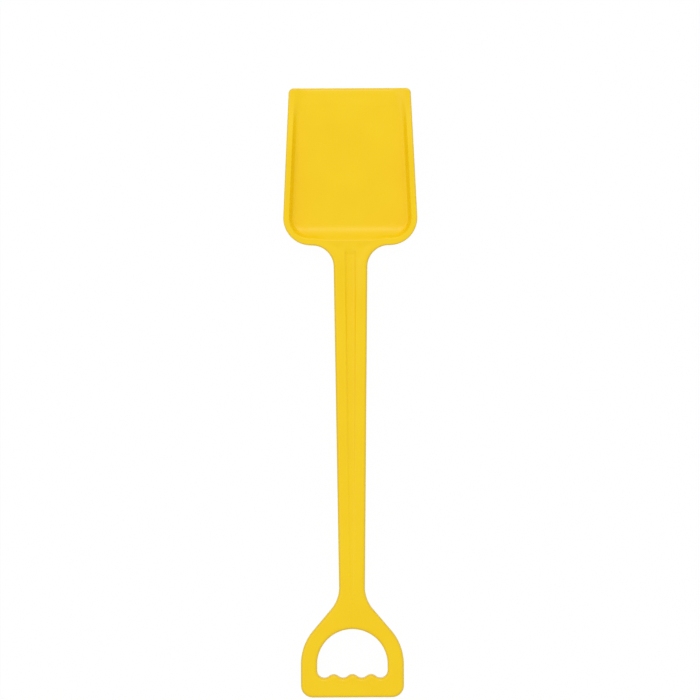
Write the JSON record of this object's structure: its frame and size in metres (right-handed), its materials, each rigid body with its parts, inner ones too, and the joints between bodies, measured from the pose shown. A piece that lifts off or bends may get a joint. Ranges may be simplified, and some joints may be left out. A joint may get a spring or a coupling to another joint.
{
  "type": "toy sand shovel",
  "caption": "Long-handled toy sand shovel in glossy moulded plastic, with a rimmed tray blade, a tapered channelled shaft and a D grip with finger hollows",
  "frame": {"origin": "under the middle of the shovel's length and width, on the plane of its flat back", "axes": "+Y runs along the shaft out of the blade's front lip, +Z stands out of the open side of the tray, +X runs across"},
  "size_m": [0.1342, 0.61, 0.014],
  "materials": {
    "blade_plastic": "semi-gloss moulded polypropylene, yellow",
    "shaft_plastic": "semi-gloss moulded polypropylene, yellow",
    "grip_plastic": "semi-gloss moulded polypropylene, yellow"
  },
  "bodies": {
    "root": {"blade": "blade_plastic", "shaft": "shaft_plastic", "grip": "grip_plastic"}
  },
  "joints": []
}
